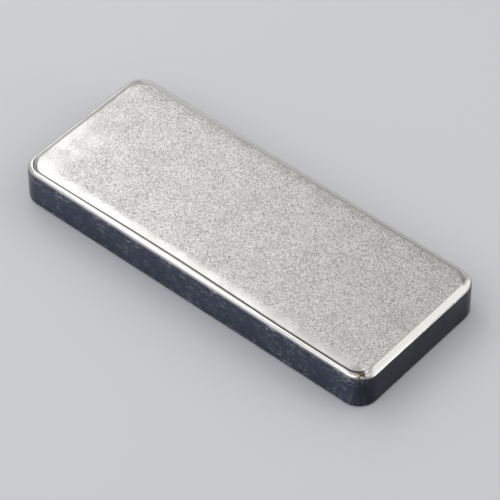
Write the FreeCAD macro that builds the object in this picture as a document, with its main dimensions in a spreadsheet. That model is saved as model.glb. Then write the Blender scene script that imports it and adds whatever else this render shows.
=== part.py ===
"""Silver bar: one solid block with a rounded shoulder and a groove that frames the flat top panel.

Millimetres. The bar lies flat: X runs along its length, Y across its width and Z up.
The origin is at the middle of its underside.
"""
import FreeCAD, Part
import math
import os
import Sketcher

# Driving dimensions: the sheet's alias, its value and what it measures.
DIMENSIONS = [
    ("bar_length", 135.0, "overall length, along X"),
    ("bar_width", 54.8, "overall width, along Y"),
    ("bar_height", 13.0, "overall height, underside to panel"),
    ("corner_radius", 6.6, "plan radius of the four upright corners"),
    ("foot_radius", 0.9, "rounding between the underside and the walls"),
    ("shoulder_radius", 1.5, "rounding between the walls and the top"),
    ("rim_flat", 0.2, "flat left on the rim between its rounding and the groove"),
    ("groove_width", 0.5, "width of the groove along the straight sides"),
    ("groove_depth", 0.45, "depth of the groove below the panel"),
    ("corner_easing", 1.2, "extra plan radius of the panel, which widens the groove at the corners"),
    ("lip_radius", 0.35, "rounding of the panel's edge into the groove"),
    ("rim_edge_radius", 0.12, "rounding of the rim's inner edge into the groove"),
    ("groove_root_radius", 0.15, "rounding along both sides of the groove's floor"),
]

# Expressions for the sizes that follow from the driving ones.
SHEET = "Dimensions"
RIM_WIDTH = f"({SHEET}.shoulder_radius + {SHEET}.rim_flat)"
PANEL_INSET = f"({RIM_WIDTH} + {SHEET}.groove_width)"
RIM_CORNER = f"({SHEET}.corner_radius - {RIM_WIDTH})"
PANEL_CORNER = f"({SHEET}.corner_radius - {PANEL_INSET} + {SHEET}.corner_easing)"

# How closely an edge must lie on a stated height and side to count as there, in millimetres.
TOLERANCE = 1e-4


def make_sheet(doc):
    """Write the driving dimensions into the sheet, one row each."""
    sheet = doc.addObject("Spreadsheet::Sheet", SHEET)
    for row, (alias, value, meaning) in enumerate(DIMENSIONS, start=1):
        sheet.set(f"A{row}", alias)
        sheet.set(f"B{row}", str(value))
        sheet.setAlias(f"B{row}", alias)
        sheet.set(f"C{row}", meaning)
    doc.recompute()
    return sheet


def make_sketch(body, name, height):
    """Make an empty sketch on the body's XY plane, lifted to an expression for its height."""
    plane = next(part for part in body.Origin.OriginFeatures if part.Role == "XY_Plane")
    sketch = body.newObject("Sketcher::SketchObject", name)
    sketch.AttachmentSupport = [(plane, "")]
    sketch.MapMode = "FlatFace"
    sketch.setExpression(".AttachmentOffset.Base.z", height)
    return sketch


def bind(sketch, constraint, name, expression):
    """Add a dimension to the sketch and tie it to an expression."""
    index = sketch.addConstraint(constraint)
    sketch.renameConstraint(index, name)
    sketch.setExpression(f"Constraints.{name}", expression)


def add_rounded_rectangle(sketch, name, inset, radius):
    """Draw a rounded rectangle about the origin, set in from the bar's outline by an expression."""
    length = f"{SHEET}.bar_length - 2 * {inset}"
    width = f"{SHEET}.bar_width - 2 * {inset}"
    half_x = float(sketch.evalExpression(length)) / 2
    half_y = float(sketch.evalExpression(width)) / 2
    corner = float(sketch.evalExpression(radius))
    core_x = half_x - corner
    core_y = half_y - corner
    up = FreeCAD.Vector(0, 0, 1)
    right_angle = math.pi / 2

    # Each side is a line followed anticlockwise by the arc of its corner.
    sides = [
        ((core_x, -half_y), (-core_x, -half_y), (-core_x, -core_y)),
        ((-half_x, -core_y), (-half_x, core_y), (-core_x, core_y)),
        ((-core_x, half_y), (core_x, half_y), (core_x, core_y)),
        ((half_x, core_y), (half_x, -core_y), (core_x, -core_y)),
    ]
    first = sketch.GeometryCount
    for number, (start, end, centre) in enumerate(sides):
        sketch.addGeometry(Part.LineSegment(FreeCAD.Vector(*start, 0), FreeCAD.Vector(*end, 0)))
        arc_end = (3 - number) * right_angle
        circle = Part.Circle(FreeCAD.Vector(*centre, 0), up, corner)
        sketch.addGeometry(Part.ArcOfCircle(circle, arc_end - right_angle, arc_end))

    bottom, left, top, right = (first + 2 * side for side in range(4))
    arcs = [line + 1 for line in (bottom, left, top, right)]
    for line, arc, following in zip((bottom, left, top, right), arcs, (left, top, right, bottom)):
        sketch.addConstraint(Sketcher.Constraint("Tangent", line, 2, arc, 2))
        sketch.addConstraint(Sketcher.Constraint("Tangent", arc, 1, following, 1))
    for arc in arcs[1:]:
        sketch.addConstraint(Sketcher.Constraint("Equal", arcs[0], arc))
    sketch.addConstraint(Sketcher.Constraint("Horizontal", bottom))
    sketch.addConstraint(Sketcher.Constraint("Vertical", left))
    sketch.addConstraint(Sketcher.Constraint("Symmetric", bottom, 1, top, 1, -1, 1))
    bind(sketch, Sketcher.Constraint("DistanceX", bottom, 2, bottom, 1, 2 * core_x),
         f"{name}_core_x", f"{length} - 2 * {radius}")
    bind(sketch, Sketcher.Constraint("DistanceY", left, 1, left, 2, 2 * core_y),
         f"{name}_core_y", f"{width} - 2 * {radius}")
    bind(sketch, Sketcher.Constraint("Radius", arcs[0], corner), f"{name}_radius", radius)


def ring_of_edges(shape, sheet, height, inset):
    """Name the edges at one height that run round the bar, set in from its outline by one inset."""
    reach_x = sheet.bar_length / 2 - inset
    reach_y = sheet.bar_width / 2 - inset
    names = []
    for number, edge in enumerate(shape.Edges, start=1):
        box = edge.BoundBox
        level = abs(box.ZMin - height) < TOLERANCE and abs(box.ZMax - height) < TOLERANCE
        on_short_side = abs(max(abs(box.XMin), abs(box.XMax)) - reach_x) < TOLERANCE
        on_long_side = abs(max(abs(box.YMin), abs(box.YMax)) - reach_y) < TOLERANCE
        if level and (on_short_side or on_long_side):
            names.append(f"Edge{number}")
    return names


def add_fillet(body, name, base, edges, radius):
    """Round the named edges of a feature by an expression for the radius."""
    fillet = body.newObject("PartDesign::Fillet", name)
    fillet.Base = (base, edges)
    fillet.setExpression("Radius", radius)
    body.Document.recompute()
    return fillet


def make_bar(doc, sheet):
    """Build the bar: its block, the rounded foot and shoulder, and the groove about the panel."""
    body = doc.addObject("PartDesign::Body", "silver_bar")
    body.Label = "silver_bar"
    body.Placement = FreeCAD.Placement()

    outline = make_sketch(body, "BarOutline", "0 mm")
    add_rounded_rectangle(outline, "bar", "0", f"{SHEET}.corner_radius")
    block = body.newObject("PartDesign::Pad", "Block")
    block.Profile = outline
    block.setExpression("Length", f"{SHEET}.bar_height")
    doc.recompute()

    foot_ring = ring_of_edges(block.Shape, sheet, 0, 0)
    foot = add_fillet(body, "Foot", block, foot_ring, f"{SHEET}.foot_radius")
    shoulder_ring = ring_of_edges(foot.Shape, sheet, sheet.bar_height, 0)
    shoulder = add_fillet(body, "Shoulder", foot, shoulder_ring, f"{SHEET}.shoulder_radius")

    frame = make_sketch(body, "GrooveOutline", f"{SHEET}.bar_height")
    add_rounded_rectangle(frame, "rim", RIM_WIDTH, RIM_CORNER)
    add_rounded_rectangle(frame, "panel", PANEL_INSET, PANEL_CORNER)
    groove = body.newObject("PartDesign::Pocket", "Groove")
    groove.Profile = frame
    groove.Reversed = False
    groove.setExpression("Length", f"{SHEET}.groove_depth")
    doc.recompute()
    removed = shoulder.Shape.Volume - groove.Shape.Volume
    if removed <= 0:
        raise RuntimeError("the groove cuts nothing")

    rim_inset = float(frame.evalExpression(RIM_WIDTH))
    panel_inset = float(frame.evalExpression(PANEL_INSET))
    floor_height = sheet.bar_height - sheet.groove_depth
    root_rings = ring_of_edges(groove.Shape, sheet, floor_height, rim_inset)
    root_rings += ring_of_edges(groove.Shape, sheet, floor_height, panel_inset)
    root = add_fillet(body, "GrooveRoot", groove, root_rings, f"{SHEET}.groove_root_radius")
    lip_ring = ring_of_edges(root.Shape, sheet, sheet.bar_height, panel_inset)
    lip = add_fillet(body, "PanelLip", root, lip_ring, f"{SHEET}.lip_radius")
    rim_ring = ring_of_edges(lip.Shape, sheet, sheet.bar_height, rim_inset)
    add_fillet(body, "RimEdge", lip, rim_ring, f"{SHEET}.rim_edge_radius")
    return body


def check(doc, bodies):
    """Stop if any object failed to build or any sub-part is not one sound solid."""
    for item in doc.Objects:
        if "Invalid" in item.State or "Error" in item.State:
            raise RuntimeError(f"{item.Name} did not build: {item.State}")
    for body in bodies:
        shape = body.Shape
        if shape.isNull() or not shape.isValid() or len(shape.Solids) != 1:
            raise RuntimeError(f"{body.Label} is not one valid solid")


def main():
    doc = FreeCAD.newDocument("SilverBar")
    sheet = make_sheet(doc)
    bodies = [make_bar(doc, sheet)]
    doc.recompute()
    check(doc, bodies)
    os.makedirs("parts", exist_ok=True)
    for body in bodies:
        body.Shape.exportStep(os.path.join("parts", f"{body.Label}.step"))
        size = body.Shape.optimalBoundingBox()
        print(f"{body.Label}: {size.XLength:.2f} x {size.YLength:.2f} x {size.ZLength:.2f} mm, "
              f"{body.Shape.Volume:.1f} mm3")


main()
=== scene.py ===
"""Looks of the silver bar: the cast skin that stands for the CAD solid, its finish, and a plain studio."""
import math
import random

import bmesh
import bpy
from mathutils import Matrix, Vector, noise


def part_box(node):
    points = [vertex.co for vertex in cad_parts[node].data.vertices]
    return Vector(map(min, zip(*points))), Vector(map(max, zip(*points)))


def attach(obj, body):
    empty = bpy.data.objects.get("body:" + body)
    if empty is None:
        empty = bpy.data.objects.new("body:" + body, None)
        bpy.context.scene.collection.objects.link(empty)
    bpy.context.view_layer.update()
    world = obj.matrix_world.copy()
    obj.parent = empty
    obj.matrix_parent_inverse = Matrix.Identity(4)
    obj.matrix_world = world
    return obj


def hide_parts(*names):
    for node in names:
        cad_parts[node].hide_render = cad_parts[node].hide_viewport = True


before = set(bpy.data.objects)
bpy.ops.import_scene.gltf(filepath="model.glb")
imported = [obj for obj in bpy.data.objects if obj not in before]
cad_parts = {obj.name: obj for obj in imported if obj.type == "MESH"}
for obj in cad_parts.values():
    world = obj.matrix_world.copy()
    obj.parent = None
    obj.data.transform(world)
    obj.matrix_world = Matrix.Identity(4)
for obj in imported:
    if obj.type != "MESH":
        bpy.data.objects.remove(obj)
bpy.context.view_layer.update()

MM = 0.001

# Overall size, read from the CAD node.
LOW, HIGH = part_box("silver_bar")
LENGTH = HIGH.x - LOW.x
WIDTH = HIGH.y - LOW.y
HEIGHT = HIGH.z - LOW.z

# Section, as in the CAD source.
CORNER_RADIUS = 6.6 * MM
FOOT_RADIUS = 0.9 * MM
SHOULDER_RADIUS = 1.5 * MM
RIM_FLAT = 0.2 * MM
RIM_EDGE = 0.12 * MM
GROOVE_WIDTH = 0.5 * MM
GROOVE_DEPTH = 0.45 * MM
LEAST_RADIUS = 0.3 * MM
CORNER_EASING = 1.2 * MM

# The shoulder's arc stops short of level by the rim's slope, and the rim climbs on to its inner edge.
RIM_SLOPE = math.radians(12)
RIM_WIDTH = SHOULDER_RADIUS + RIM_FLAT
ARC_INSET = SHOULDER_RADIUS * (1 - math.sin(RIM_SLOPE))
SLOPE_RISE = (RIM_WIDTH - ARC_INSET) * math.tan(RIM_SLOPE) - SHOULDER_RADIUS * (1 - math.cos(RIM_SLOPE))
PANEL_INSET = RIM_WIDTH + GROOVE_WIDTH

# The panel's rounded lip, the turns at which the groove's painted shade leaves it, the painted shade on the
# rim's inner edge, and the turns of the shoulder between which the walls' painted dark reflection gives way
# to bright metal.
LIP_REACH = 0.55 * MM
LIP_DROP = 0.16 * MM
LIP_SHADE_START = math.radians(40)
LIP_CLEAR = math.radians(70)
RIM_PAINTED_SHADE = 0.4
WALL_FADE_START = math.radians(12)
WALL_FADE_END = math.radians(54)

# The panel falls away towards its lip, as pressed or cooled silver does.
CROWN_BAND = 3.4 * MM
CROWN_DROP = 0.34 * MM
CROWN_ROW_EASE = 1.2
GROOVE_BOW = 0.6

# The groove wanders along the near long side, is shallower at the far side and the left end, and gives
# way at the +X end to a rounded crest that rises straight to the panel.
WANDER_MEAN = 0.10 * MM
WANDER_REACH = 0.30 * MM
WANDER_LENGTH = 110 * MM
WANDER_SHIFT = 0.09
WANDER_ONSET = (0.8 * MM, 1.5 * MM)
WANDER_FADE = 3.5 * MM
LEFT_ONSET = (3 * MM, 8 * MM)
SIDE_SPREAD = 1.5 * MM
FAR_SPREAD = 3.5 * MM
FAR_OPENING = 0.55
NEAR_SPREAD = 0.40
CREST_INSET = 2.3 * MM
CREST_SLOPE = math.radians(16)
CREST_FADE = (0.84, 0.87)
ARC_TOP = SLOPE_RISE + SHOULDER_RADIUS * (1 - math.cos(RIM_SLOPE))
CREST_SINK = (CREST_INSET - ARC_INSET) * math.tan(CREST_SLOPE) - ARC_TOP

# Mesh density, as points or rows of each stretch.
LONG_SIDE_POINTS = 200
SHORT_SIDE_POINTS = 70
CORNER_POINTS = 26
WALL_ROWS = 18
ROUND_ROWS = 10
RIM_EDGE_ROWS = 3
GROOVE_ROWS = 8
LIP_ROWS = 7
BAND_ROWS = 22
FIELD_ROWS = 24
UNDERSIDE_ROWS = 10
WELD_GAP = 0.004 * MM

# Where the panel's grain gives way to a smoother, pit-free tone along the near edge and the left end: partly
# rubbing by handling, partly painted highlight where light glows on the panel. Given as distances from the
# panel's near and left edges over which it fades, and the patchiness of its border: share, size and noise
# offset.
RUB_AND_SHEEN_EDGE = (0.8 * MM, 4.6 * MM)
RUB_AND_SHEEN_END = (1.0 * MM, 18.0 * MM)
RUB_AND_SHEEN_ACROSS = (18 * MM, 34 * MM)
RUB_AND_SHEEN_END_SHARE = 0.55
RUB_AND_SHEEN_PATCHES = ((0.26, 5 * MM, 4.4), (0.25, 1.6 * MM, 7.3))

# Unevenness of the skin: zone, depth, wavelength along each axis and noise offset.
WAVES = (
    ("wall", 0.045 * MM, (9 * MM, 9 * MM, 5 * MM), 3.1),
    ("wall", 0.018 * MM, (3 * MM, 3 * MM, 1.1 * MM), 8.4),
    ("rim", 0.030 * MM, (14 * MM, 14 * MM, 14 * MM), 5.7),
    ("groove", 0.05 * MM, (2.4 * MM, 2.4 * MM, 9 * MM), 1.9),
    ("panel", 0.040 * MM, (16 * MM, 16 * MM, 16 * MM), 2.2),
    ("panel", 0.007 * MM, (2.6 * MM, 2.6 * MM, 9 * MM), 6.6),
)

# Knocks: how many, the bands of height they fall in and their reach, in millimetres, and depth over reach.
DENT_COUNT = 90
DENT_BANDS = ((0.2, 1.2), (1.0, 12.0), (11.8, 12.8))
DENT_REACH = (0.35, 1.1)
DENT_DEPTH = (0.05, 0.14)
FLAT_FOOT = 0.05 * MM

# Colours of the finish.
PANEL_LIGHT = (0.84, 0.833, 0.818, 1)
PANEL_DULL = (0.62, 0.61, 0.59, 1)
PANEL_PIT = (0.32, 0.312, 0.30, 1)
PANEL_GLINT = (0.98, 0.98, 0.97, 1)
RIM_COLOUR = (0.95, 0.945, 0.93, 1)
# Groove colour: dark painted shade in the groove, over the rim's inner edge and on the panel's lip.
GROOVE_PAINTED_SHADE = (0.125, 0.118, 0.10, 1)
# Walls: dark blue-grey painted reflection of dark surroundings, over the dull cast skin.
WALL_PAINTED_REFLECTION = (0.074, 0.089, 0.138, 1)
# Light tone of the walls' rubbed streaks and flecks, also used for the painted highlight down the upright
# corners.
WALL_WORN_AND_HIGHLIGHT = (0.42, 0.42, 0.43, 1)
# Darker random patches in the walls' painted reflection.
WALL_DEEP = (0.05, 0.054, 0.075, 1)
# Painted shade that darkens the short end walls.
END_PAINTED_SHADE = (0.016, 0.019, 0.026, 1)
# Brown painted reflection of warm dark surroundings, used in a small spot on the near right corner's
# shoulder.
PAINTED_REFLECTION_BROWN = (0.20, 0.11, 0.045, 1)
END_SHADE_SHARE = 0.85
FLOOR_COLOUR = (0.80, 0.82, 0.86, 1)

# Texture sizes, stretches and relief depths.
GRAIN_SIZE = 0.27 * MM
SAND_SIZE = 0.24 * MM
CLOUD_SIZE = 7 * MM
STREAK_SIZE = 0.45 * MM
STREAK_STRETCH = (0.16, 0.16, 1)
SCUFF_SIZE = 0.7 * MM
SCUFF_STRETCH = (0.6, 0.6, 1)
# Size and stretch of the painted highlight streaks down the upright corners.
CORNER_STREAK_SIZE = 1.3 * MM
CORNER_STREAK_STRETCH = (1, 1, 0.25)
SPOT_REACH = 1.9 * MM
SPOT_BREAKUP = 0.9 * MM
GRAIN_RELIEF = 0.10 * MM
SIDE_RELIEF = 0.014 * MM

# Roughness of each zone.
SATIN_ROUGHNESS = (0.30, 0.38)
BURNISHED_ROUGHNESS = 0.30
RIM_ROUGHNESS = 0.17
WALL_ROUGHNESS = (0.24, 0.40)
GROOVE_ROUGHNESS = 0.45

CENTRE = Vector((0.0, 0.0, HEIGHT / 2))

# Softboxes: name, azimuth, elevation, edge length, brightness and colour.
BOX_DISTANCE = 0.5
NEUTRAL = (1.0, 0.995, 0.985)
WARM = (1.0, 0.98, 0.94)
SOFTBOXES = [
    ("left_high", 278, 58, 0.26, 1.20, NEUTRAL),
    ("left_front", 325, 40, 0.26, 0.28, NEUTRAL),
    ("back_left_wide", 240, 42, 0.27, 0.80, NEUTRAL),
    ("back_left_small", 246, 44, 0.15, 0.60, NEUTRAL),
    ("right_high", 143, 40, 0.42, 0.44, WARM),
    ("right_low", 108, 12, 0.19, 2.2, WARM),
    ("front_fill", 0, 50, 0.30, 0.9, NEUTRAL),
]
SURROUND_LEVEL = 0.45
SURROUND_COLOUR = (1.0, 0.995, 0.985, 1)
FLOOR_REACH = 3.0

# Camera: direction in degrees, distance and sideways step in bar lengths, lens and sensor in millimetres.
CAMERA_AZIMUTH = 40.62
CAMERA_ELEVATION = 46.86
CAMERA_DISTANCE = 6.701
CAMERA_STEP = 0.0094
CAMERA_LENS = 216.0
CAMERA_SENSOR = 36.0
CAMERA_NEAR = 0.01

random.seed(11)


# ---------------------------------------------------------------- shape

def outline(inset, radius):
    """Points anticlockwise round a rounded rectangle, set in from the bar's outline."""
    half_x = LENGTH / 2 - inset
    half_y = WIDTH / 2 - inset
    core_x = half_x - radius
    core_y = half_y - radius
    corners = [(core_x, core_y), (-core_x, core_y), (-core_x, -core_y), (core_x, -core_y)]
    side_points = [LONG_SIDE_POINTS, SHORT_SIDE_POINTS] * 2
    points = []
    for number, (x, y) in enumerate(corners):
        start = number * math.pi / 2
        for step in range(CORNER_POINTS):
            angle = start + step / CORNER_POINTS * math.pi / 2
            points.append((x + radius * math.cos(angle), y + radius * math.sin(angle)))
        end = start + math.pi / 2
        next_x, next_y = corners[(number + 1) % 4]
        first = (x + radius * math.cos(end), y + radius * math.sin(end))
        last = (next_x + radius * math.cos(end), next_y + radius * math.sin(end))
        for step in range(side_points[number]):
            share = step / side_points[number]
            points.append(tuple(a + (b - a) * share for a, b in zip(first, last)))
    return points


def smooth(value, low, high):
    """Ease from 0 at low to 1 at high."""
    share = min(max((value - low) / (high - low), 0.0), 1.0)
    return share * share * (3 - 2 * share)


def section():
    """Rows of the section from the middle of the underside, over the wall, to the middle of the panel.

    Each row is (inset, plan radius, height, share of the way in to the spine, zone weights), where the
    weights are (wall, groove, panel).
    """
    rows = []

    def add(inset, height, spine=0.0, wall=0.0, groove=0.0, panel=0.0, easing=0.0):
        radius = max(CORNER_RADIUS - inset, LEAST_RADIUS) + easing
        rows.append((inset, radius, height, spine, (wall, groove, panel)))

    for step in range(UNDERSIDE_ROWS):
        add(FOOT_RADIUS, 0.0, spine=1 - step / UNDERSIDE_ROWS, wall=1.0)
    for step in range(ROUND_ROWS + 1):
        angle = step / ROUND_ROWS * math.pi / 2
        add(FOOT_RADIUS * (1 - math.sin(angle)), FOOT_RADIUS * (1 - math.cos(angle)), wall=1.0)
    wall_top = HEIGHT - SHOULDER_RADIUS - SLOPE_RISE
    for step in range(1, WALL_ROWS):
        height = FOOT_RADIUS + (wall_top - FOOT_RADIUS) * step / WALL_ROWS
        add(0.0, height, wall=1.0)
    shoulder_rows = 2 * ROUND_ROWS
    for step in range(shoulder_rows + 1):
        angle = step / shoulder_rows * (math.pi / 2 - RIM_SLOPE)
        add(SHOULDER_RADIUS * (1 - math.cos(angle)), wall_top + SHOULDER_RADIUS * math.sin(angle),
            wall=1 - smooth(angle, WALL_FADE_START, WALL_FADE_END))
    for step in range(RIM_EDGE_ROWS + 1):
        angle = step / RIM_EDGE_ROWS * math.pi / 2
        add(RIM_WIDTH - RIM_EDGE * (1 - math.sin(angle)), HEIGHT - RIM_EDGE * (1 - math.cos(angle)),
            groove=RIM_PAINTED_SHADE + (1 - RIM_PAINTED_SHADE) * step / RIM_EDGE_ROWS)
    floor_height = HEIGHT - GROOVE_DEPTH
    lip_foot = HEIGHT - CROWN_DROP - LIP_DROP
    for step in range(1, GROOVE_ROWS):
        share = step / GROOVE_ROWS
        bow = math.sin(share * math.pi) ** GROOVE_BOW
        brink = HEIGHT - RIM_EDGE + (lip_foot - HEIGHT + RIM_EDGE) * share
        height = brink + min(floor_height - brink, 0.0) * bow
        add(RIM_WIDTH + GROOVE_WIDTH * share, height, groove=1.0, easing=CORNER_EASING * share)
    for step in range(LIP_ROWS + 1):
        angle = step / LIP_ROWS * math.pi / 2
        add(PANEL_INSET + LIP_REACH * (1 - math.cos(angle)),
            HEIGHT - CROWN_DROP - LIP_DROP * (1 - math.sin(angle)),
            groove=1 - smooth(angle, LIP_SHADE_START, LIP_CLEAR), panel=smooth(angle, LIP_SHADE_START, LIP_CLEAR),
            easing=CORNER_EASING)
    crown_start = PANEL_INSET + LIP_REACH
    for step in range(1, BAND_ROWS + 1):
        share = (step / BAND_ROWS) ** CROWN_ROW_EASE
        height = HEIGHT - CROWN_DROP * (1 - share) ** 2
        add(crown_start + CROWN_BAND * share, height, panel=1.0, easing=CORNER_EASING)
    inner = crown_start + CROWN_BAND
    for step in range(1, FIELD_ROWS + 1):
        add(inner, HEIGHT, spine=step / FIELD_ROWS, panel=1.0, easing=CORNER_EASING)
    return rows


def ripple(point, wavelength, seed):
    """Smooth noise between -1 and 1 that changes over about one wavelength along each axis."""
    place = Vector((point[0] / wavelength[0], point[1] / wavelength[1], point[2] / wavelength[2]))
    return noise.noise(place + Vector((seed, seed * 1.7, seed * 0.3)))


def rubbing_and_sheen(point):
    """How far the panel's grain is taken away along the near long edge and at the left end: partly rubbing by
    handling, partly painted highlight.
    """
    from_edge = point.y + WIDTH / 2 - PANEL_INSET
    from_end = point.x + LENGTH / 2 - PANEL_INSET
    edge = 1 - smooth(from_edge, *RUB_AND_SHEEN_EDGE)
    end = RUB_AND_SHEEN_END_SHARE * (1 - smooth(from_end, *RUB_AND_SHEEN_END)) * (1 - smooth(from_edge, *RUB_AND_SHEEN_ACROSS))
    patchy = sum(share * ripple(point, (size,) * 3, offset) for share, size, offset in RUB_AND_SHEEN_PATCHES)
    rubbed = max(edge, end)
    return min(max(rubbed + patchy * min(4 * rubbed * (1.15 - rubbed), 1.0), 0.0), 1.0)


def side_share(along, inset, half, spread=SIDE_SPREAD):
    """Weight that is 1 on one straight side, fades round its corners, and is 0 elsewhere."""
    return smooth(along + inset, half - spread, half - 0.13 * spread)


def settle(x, y, inset, height, weights):
    """Point and zone weights of one place on the section, after the unevenness of the groove there."""
    wall, groove, panel = weights
    near = side_share(-y, inset, WIDTH / 2)
    band = smooth(inset, *WANDER_ONSET) * (1 - smooth(inset, WANDER_FADE, PANEL_INSET + CROWN_BAND))
    wander = WANDER_MEAN + WANDER_REACH * math.cos(2 * math.pi * (x / WANDER_LENGTH + WANDER_SHIFT))
    y += near * band * wander
    left = side_share(-x, inset, LENGTH / 2, FAR_SPREAD) * smooth(y + WIDTH / 2, *LEFT_ONSET)
    far = max(side_share(y, inset, WIDTH / 2, FAR_SPREAD), left)
    near_opening = 1 + NEAR_SPREAD * x / LENGTH
    opening = near_opening + (FAR_OPENING - near_opening) * far
    crest = side_share(x, inset, LENGTH / 2)
    if inset > RIM_WIDTH - 1.5 * RIM_EDGE:
        open_height = HEIGHT - (HEIGHT - height) * opening
        crest_height = HEIGHT - max(CREST_INSET - inset, 0.0) * math.tan(CREST_SLOPE)
        crest_panel = smooth(inset, CREST_INSET - 0.1 * MM, CREST_INSET + 0.5 * MM)
        panel += (crest_panel - panel) * crest
    else:
        open_height = height
        crest_height = height - CREST_SINK * smooth(height / HEIGHT, *CREST_FADE)
    height = open_height + (crest_height - open_height) * crest
    return x, y, height, (wall, groove * opening * (1 - crest), panel)


def cornerness(point):
    """Weight that is 1 on the upright corners and 0 along the straight walls."""
    across = smooth(abs(point.x), LENGTH / 2 - CORNER_RADIUS, LENGTH / 2 - CORNER_RADIUS * 0.7)
    along = smooth(abs(point.y), WIDTH / 2 - CORNER_RADIUS, WIDTH / 2 - CORNER_RADIUS * 0.7)
    return across * along


def make_dents():
    """Small knocks round the foot, walls and shoulder: place, reach and depth of each."""
    dents = []
    edge = outline(0.0, CORNER_RADIUS)
    for _ in range(DENT_COUNT):
        x, y = random.choice(edge)
        height = random.choice([random.uniform(low, high) for low, high in DENT_BANDS])
        reach = random.uniform(*DENT_REACH) * MM
        dents.append((Vector((x, y, height * MM)), reach, reach * random.uniform(*DENT_DEPTH)))
    return dents


def build_skin():
    """Make the bar's skin as one closed mesh with its zones as point attributes."""
    rows = section()
    spine_half = LENGTH / 2 - WIDTH / 2
    vertices = []
    zones = []
    count = 0
    for inset, radius, height, share, weights in rows:
        ring = outline(inset, radius)
        count = len(ring)
        for x, y in ring:
            spine_x = min(max(x, -spine_half), spine_half)
            x, y, level, (wall, groove, panel) = settle(x, y, inset, height, weights)
            point = Vector((x + (spine_x - x) * share, y * (1 - share), level))
            vertices.append(point)
            zones.append((wall, groove, panel, panel * (1 - rubbing_and_sheen(point)), wall * cornerness(point)))
    faces = []
    for row in range(len(rows) - 1):
        for step in range(count):
            after = (step + 1) % count
            low = row * count
            high = low + count
            faces.append((low + step, low + after, high + after, high + step))

    mesh = bpy.data.meshes.new("silver_bar_skin")
    mesh.from_pydata([tuple(point) for point in vertices], [], faces)
    for index, name in enumerate(("wall", "groove", "panel", "grain", "corner")):
        layer = mesh.attributes.new(name, "FLOAT", "POINT")
        layer.data.foreach_set("value", [weights[index] for weights in zones])
    mesh.update()

    work = bmesh.new()
    work.from_mesh(mesh)
    bmesh.ops.remove_doubles(work, verts=work.verts, dist=WELD_GAP)
    bmesh.ops.recalc_face_normals(work, faces=work.faces)
    roughen(work)
    work.to_mesh(mesh)
    work.free()
    mesh.polygons.foreach_set("use_smooth", [True] * len(mesh.polygons))
    mesh.update()
    return mesh


def roughen(work):
    """Push the skin in and out along its normals: slow waves, fine unevenness and knocks."""
    layers = {name: work.verts.layers.float[name] for name in ("wall", "groove", "panel")}
    dents = make_dents()
    work.normal_update()
    moves = []
    for vertex in work.verts:
        point = vertex.co
        weights = {name: vertex[layer] for name, layer in layers.items()}
        weights["rim"] = max(1 - weights["wall"] - weights["panel"], 0.0)
        push = 0.0
        for zone, depth, wavelength, offset in WAVES:
            if weights[zone] > 0:
                push += weights[zone] * depth * ripple(point, wavelength, offset)
        if weights["panel"] < 0.5:
            for place, reach, depth in dents:
                gap = (point - place).length
                if gap < reach:
                    push -= depth * (1 - (gap / reach) ** 2) ** 2
        moves.append(vertex.normal * push)
    for vertex, move in zip(work.verts, moves):
        if vertex.co.z > FLAT_FOOT:
            vertex.co += move
            vertex.co.z = max(vertex.co.z, 0.0)


# ---------------------------------------------------------------- finish

def feed(tree, socket, value):
    """Link a socket to the output given as its value, or set it to a plain value."""
    if isinstance(value, bpy.types.NodeSocket):
        tree.links.new(value, socket)
    else:
        socket.default_value = value


def add_node(tree, kind, inputs=None, **settings):
    """Add a node, set its properties and its unlinked inputs, and link any sockets given as inputs."""
    node = tree.nodes.new(kind)
    for name, value in settings.items():
        setattr(node, name, value)
    for name, value in (inputs or {}).items():
        feed(tree, node.inputs[name], value)
    return node


def blend(tree, amount, low, high):
    """Mix two colours by an amount."""
    node = add_node(tree, "ShaderNodeMix", data_type="RGBA")
    for socket, value in zip((node.inputs[0], node.inputs[6], node.inputs[7]), (amount, low, high)):
        feed(tree, socket, value)
    return node.outputs[2]


def blend_value(tree, amount, low, high):
    """Mix two numbers by an amount."""
    node = add_node(tree, "ShaderNodeMix", data_type="FLOAT")
    for socket, value in zip((node.inputs[0], node.inputs[2], node.inputs[3]), (amount, low, high)):
        feed(tree, socket, value)
    return node.outputs[0]


def ranged(tree, value, low, high, to_low=0.0, to_high=1.0):
    """Map a value from one range to another, eased at both ends and clamped."""
    node = add_node(tree, "ShaderNodeMapRange", {
        "Value": value, "From Min": low, "From Max": high, "To Min": to_low, "To Max": to_high,
    }, interpolation_type="SMOOTHSTEP")
    return node.outputs["Result"]


def maths(tree, operation, first, second=0.5):
    """Work out one number from two."""
    node = add_node(tree, "ShaderNodeMath", {0: first, 1: second}, operation=operation)
    return node.outputs[0]


def zone_weight(tree, name):
    """Read one of the skin's point attributes."""
    return add_node(tree, "ShaderNodeAttribute", attribute_name=name).outputs["Fac"]


def speckle(tree, place, size, detail=2.0, stretch=(1, 1, 1)):
    """Noise whose blotches are about one size across, in metres."""
    scaled = add_node(tree, "ShaderNodeMapping", {"Vector": place, "Scale": tuple(k / size for k in stretch)})
    node = add_node(tree, "ShaderNodeTexNoise", {"Vector": scaled.outputs[0], "Scale": 1.0, "Detail": detail})
    return node.outputs["Fac"]


def grit(tree, place, size):
    """A random value for each grain, where grains are about one size across, in metres."""
    scaled = add_node(tree, "ShaderNodeMapping", {"Vector": place, "Scale": (1 / size,) * 3})
    cells = add_node(tree, "ShaderNodeTexVoronoi", {"Vector": scaled.outputs[0], "Scale": 1.0})
    return add_node(tree, "ShaderNodeSeparateColor", {"Color": cells.outputs["Color"]}).outputs[0]


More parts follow.
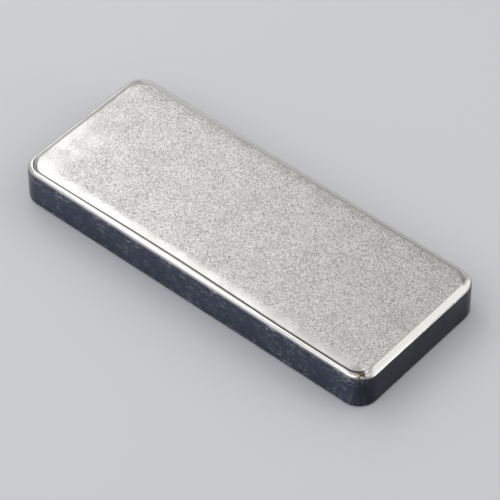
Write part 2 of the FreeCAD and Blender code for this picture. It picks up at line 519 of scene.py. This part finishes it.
def brown_reflection_spot(tree, place, breakup):
    """Weight of the small brown painted reflection of warm dark surroundings on the shoulder of the near
    right corner.
    """
    diagonal = CORNER_RADIUS * (1 - math.sqrt(0.5)) + SHOULDER_RADIUS * 0.45
    spot = (LENGTH / 2 - diagonal, diagonal - WIDTH / 2, HEIGHT - SHOULDER_RADIUS * 0.35)
    gap = add_node(tree, "ShaderNodeVectorMath", {0: place, 1: spot}, operation="DISTANCE").outputs["Value"]
    inside = ranged(tree, gap, SPOT_REACH, SPOT_REACH * 0.35)
    return maths(tree, "MULTIPLY", inside, ranged(tree, breakup, 0.42, 0.52))


def silver_finish():
    """Satin grained panel, polished shoulder, dull walls under a painted dark reflection and a groove in
    painted shade, by zone.
    """
    material = bpy.data.materials.new("cast_silver")
    material.use_nodes = True
    tree = material.node_tree
    shader = tree.nodes["Principled BSDF"]
    shader.inputs["Metallic"].default_value = 1.0
    place = add_node(tree, "ShaderNodeTexCoord").outputs["Object"]
    wall = zone_weight(tree, "wall")
    groove = zone_weight(tree, "groove")
    panel = zone_weight(tree, "panel")
    corner = zone_weight(tree, "corner")
    grained = zone_weight(tree, "grain")

    grain = speckle(tree, place, GRAIN_SIZE, detail=2.0)
    sand = grit(tree, place, SAND_SIZE)
    clouds = speckle(tree, place, CLOUD_SIZE, detail=5.0)
    streaks = speckle(tree, place, STREAK_SIZE, detail=4.0, stretch=STREAK_STRETCH)
    scuffs = speckle(tree, place, SCUFF_SIZE, detail=6.0, stretch=SCUFF_STRETCH)
    patches = speckle(tree, place, CLOUD_SIZE, detail=3.0)

    # Panel: cloudy satin silver with a sandy light and dark grain.
    dull = maths(tree, "MULTIPLY", ranged(tree, clouds, 0.38, 0.66), 0.55)
    pits = ranged(tree, sand, 0.55, 0.0)
    glints = ranged(tree, sand, 0.50, 1.0)
    panel_tone = blend(tree, dull, PANEL_LIGHT, PANEL_DULL)
    # Where the grain is taken away along the near edge and left end, the lighter pit-free tone is partly
    # painted highlight.
    panel_tone = blend(tree, maths(tree, "MULTIPLY", pits, grained), panel_tone, PANEL_PIT)
    panel_tone = blend(tree, maths(tree, "MULTIPLY", glints, grained), panel_tone, PANEL_GLINT)

    # Walls: dull cast skin under a dark blue-grey painted reflection of dark surroundings, with rubbed
    # streaks and flecks, more of them near the shoulder and the foot.
    axes = add_node(tree, "ShaderNodeSeparateXYZ", {"Vector": place}).outputs
    upright = axes["Z"]
    near_shoulder = ranged(tree, upright, HEIGHT * 0.62, HEIGHT * 0.86)
    near_foot = ranged(tree, upright, HEIGHT * 0.20, FOOT_RADIUS * 0.6)
    exposed = blend_value(tree, maths(tree, "MAXIMUM", near_shoulder, near_foot), 0.45, 1.0)
    rubbed = ranged(tree, streaks, 0.56, 0.66)
    worn = ranged(tree, scuffs, 0.56, 0.64)
    patchy = ranged(tree, patches, 0.40, 0.60, 0.30, 1.0)
    wear_and_highlight = maths(tree, "MULTIPLY", maths(tree, "MAXIMUM", rubbed, worn), patchy)
    # Painted highlight: lighter streaks down the upright corners stand in for reflected light, joined to the
    # rubbed streaks and flecks.
    corner_streaks = speckle(tree, place, CORNER_STREAK_SIZE, stretch=CORNER_STREAK_STRETCH)
    corner_highlight = maths(tree, "MULTIPLY", ranged(tree, corner_streaks, 0.50, 0.66, 0.0, 0.6), corner)
    wear_and_highlight = maths(tree, "MAXIMUM", wear_and_highlight, corner_highlight)
    wall_tone = blend(tree, maths(tree, "MULTIPLY", wear_and_highlight, exposed), WALL_PAINTED_REFLECTION, WALL_WORN_AND_HIGHLIGHT)
    wall_tone = blend(tree, ranged(tree, patches, 0.62, 0.40, 0.0, 0.3), wall_tone, WALL_DEEP)
    # Painted shade: the end walls are darkened towards their ends.
    end = ranged(tree, maths(tree, "ABSOLUTE", axes["X"]), LENGTH / 2 - CORNER_RADIUS, LENGTH / 2)
    wall_tone = blend(tree, maths(tree, "MULTIPLY", end, END_SHADE_SHARE), wall_tone, END_PAINTED_SHADE)

    tone = blend(tree, panel, RIM_COLOUR, panel_tone)
    tone = blend(tree, wall, tone, wall_tone)
    # Painted shade darkens the groove and its edges.
    tone = blend(tree, groove, tone, GROOVE_PAINTED_SHADE)
    # Small brown spot of painted reflection on the near right corner's shoulder.
    tone = blend(tree, brown_reflection_spot(tree, place, speckle(tree, place, SPOT_BREAKUP)), tone, PAINTED_REFLECTION_BROWN)
    tree.links.new(tone, shader.inputs["Base Color"])

    satin = ranged(tree, clouds, 0.3, 0.7, *SATIN_ROUGHNESS)
    satin = blend_value(tree, grained, BURNISHED_ROUGHNESS, satin)
    rough = blend_value(tree, panel, RIM_ROUGHNESS, satin)
    rough = blend_value(tree, wall, rough, ranged(tree, streaks, 0.35, 0.65, *WALL_ROUGHNESS))
    rough = blend_value(tree, groove, rough, GROOVE_ROUGHNESS)
    tree.links.new(rough, shader.inputs["Roughness"])

    relief = maths(tree, "MULTIPLY", maths(tree, "MULTIPLY", grain, grained), GRAIN_RELIEF)
    side = maths(tree, "MULTIPLY", blend_value(tree, 0.5, streaks, scuffs), wall)
    height = maths(tree, "ADD", relief, maths(tree, "MULTIPLY", side, SIDE_RELIEF))
    bump = add_node(tree, "ShaderNodeBump", {"Height": height, "Distance": 1.0, "Strength": 1.0})
    tree.links.new(bump.outputs["Normal"], shader.inputs["Normal"])
    return material


def floor_finish():
    """Plain pale matt floor with a faint cool tint."""
    material = bpy.data.materials.new("studio_floor")
    material.use_nodes = True
    shader = material.node_tree.nodes["Principled BSDF"]
    shader.inputs["Base Color"].default_value = FLOOR_COLOUR
    shader.inputs["Roughness"].default_value = 0.9
    shader.inputs["Specular IOR Level"].default_value = 0.1
    return material


# ---------------------------------------------------------------- studio

def direction(azimuth, elevation):
    """Unit vector towards a compass angle, 0 on the -Y side and 90 on the +X side, and an elevation."""
    turn = math.radians(azimuth)
    rise = math.radians(elevation)
    return Vector((math.sin(turn) * math.cos(rise), -math.cos(turn) * math.cos(rise), math.sin(rise)))


def add_softbox(name, azimuth, elevation, size, radiance, colour):
    """Hang a square softbox that faces the bar and shows at a stated brightness."""
    lamp = bpy.data.lights.new(name, "AREA")
    lamp.shape = "SQUARE"
    lamp.size = size
    lamp.energy = radiance * math.pi * size ** 2
    lamp.color = colour
    holder = bpy.data.objects.new(name, lamp)
    bpy.context.scene.collection.objects.link(holder)
    towards = direction(azimuth, elevation)
    holder.location = CENTRE + towards * BOX_DISTANCE
    holder.rotation_euler = towards.to_track_quat("Z", "Y").to_euler()
    return holder


def add_world():
    """Light the bar from all round with even pale surroundings."""
    world = bpy.data.worlds.new("studio")
    bpy.context.scene.world = world
    world.use_nodes = True
    background = world.node_tree.nodes["Background"]
    background.inputs["Color"].default_value = SURROUND_COLOUR
    background.inputs["Strength"].default_value = SURROUND_LEVEL


def add_floor():
    """Lay the floor under the bar."""
    mesh = bpy.data.meshes.new("studio_floor")
    corners = [(x * FLOOR_REACH, y * FLOOR_REACH, 0) for x, y in ((-1, -1), (1, -1), (1, 1), (-1, 1))]
    mesh.from_pydata(corners, [], [(0, 1, 2, 3)])
    mesh.materials.append(floor_finish())
    floor = bpy.data.objects.new("studio_floor", mesh)
    bpy.context.scene.collection.objects.link(floor)


def add_camera():
    """Stand the camera off the near right corner, looking down at the bar."""
    back = direction(CAMERA_AZIMUTH, CAMERA_ELEVATION)
    right = Vector((0, 0, 1)).cross(back).normalized()
    data = bpy.data.cameras.new("camera")
    data.sensor_width = CAMERA_SENSOR
    data.lens = CAMERA_LENS
    data.clip_start = CAMERA_NEAR
    camera = bpy.data.objects.new("camera", data)
    bpy.context.scene.collection.objects.link(camera)
    camera.location = back * CAMERA_DISTANCE * LENGTH + right * CAMERA_STEP * LENGTH
    camera.rotation_euler = back.to_track_quat("Z", "Y").to_euler()
    bpy.context.scene.camera = camera


# ---------------------------------------------------------------- making

skin = bpy.data.objects.new("silver_bar_skin", build_skin())
bpy.context.scene.collection.objects.link(skin)
skin.data.materials.append(silver_finish())
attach(skin, "root")
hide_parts("silver_bar")

add_floor()
add_world()
for settings in SOFTBOXES:
    add_softbox(*settings)
add_camera()
bpy.context.scene.view_settings.view_transform = "Standard"
